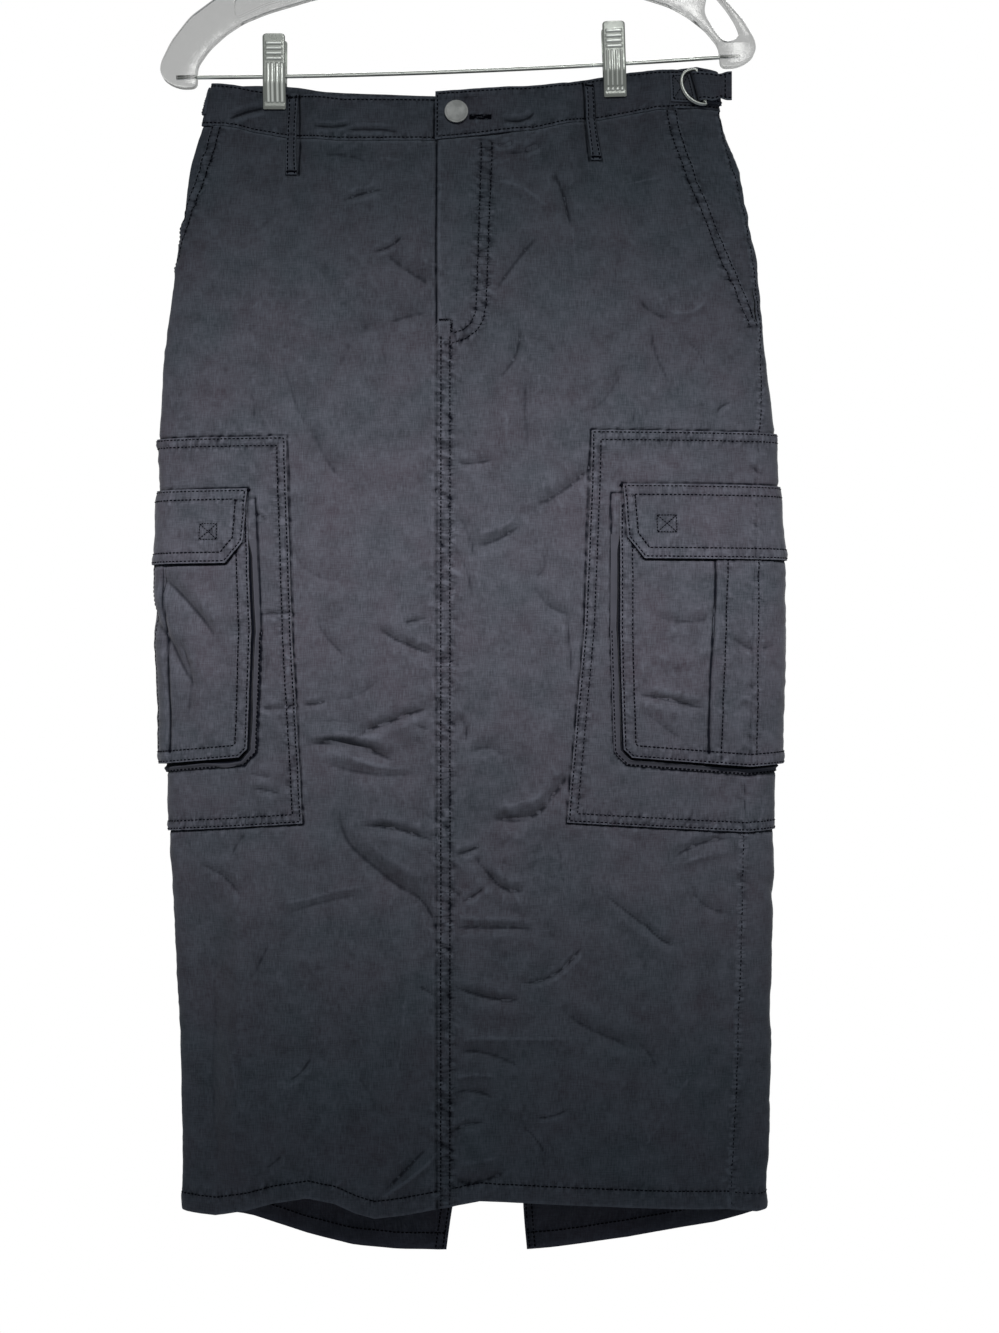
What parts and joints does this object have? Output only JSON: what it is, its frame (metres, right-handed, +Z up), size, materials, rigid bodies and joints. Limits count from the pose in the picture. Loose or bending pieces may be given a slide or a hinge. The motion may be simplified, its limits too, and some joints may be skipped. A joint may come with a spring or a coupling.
{
  "type": "cargo utility skirt on a clip hanger",
  "caption": "Long straight cargo skirt with patch and bellows pockets, side adjusters and a back vent, hung by clips from a plastic hanger.",
  "frame": {"origin": "inside top of the hanger's hook, where a rail carries it", "axes": "+Z up, +Y towards the back of the skirt, +X to the wearer's left"},
  "size_m": [0.4588, 0.0822, 1.0568],
  "materials": {
    "cloth": "dark slate cotton twill, washed",
    "zip": "black zip tape",
    "matte_metal": "matte silver",
    "bright_metal": "bright",
    "clear_plastic": "clear, moulded"
  },
  "bodies": {
    "root": {"adjuster_strap_left": "cloth", "adjuster_strap_right": "cloth", "adjuster_tab_left": "cloth", "adjuster_tab_right": "cloth", "back_left_panel": "cloth", "back_right_panel": "cloth", "belt_loop_back_centre": "cloth", "belt_loop_back_left": "cloth", "belt_loop_back_right": "cloth", "belt_loop_front_left": "cloth", "belt_loop_front_right": "cloth", "cargo_patch_left": "cloth", "cargo_patch_right": "cloth", "clip_left_back": "bright_metal", "clip_left_front": "bright_metal", "clip_left_spring": "bright_metal", "clip_right_back": "bright_metal", "clip_right_front": "bright_metal", "clip_right_spring": "bright_metal", "d_ring_left_1": "bright_metal", "d_ring_left_2": "bright_metal", "d_ring_right_1": "bright_metal", "d_ring_right_2": "bright_metal", "fly_zip": "zip", "front_left_panel": "cloth", "front_right_panel": "cloth", "hanger_body": "clear_plastic", "hanger_hook": "bright_metal", "hanger_rod": "bright_metal", "hip_facing_left": "cloth", "hip_facing_right": "cloth", "pocket_flap_left": "cloth", "pocket_flap_right": "cloth", "pocket_front_left": "cloth", "pocket_front_right": "cloth", "pocket_gusset_left": "cloth", "pocket_gusset_right": "cloth", "waist_button": "matte_metal", "waistband_left": "cloth", "waistband_right": "cloth"}
  },
  "joints": []
}
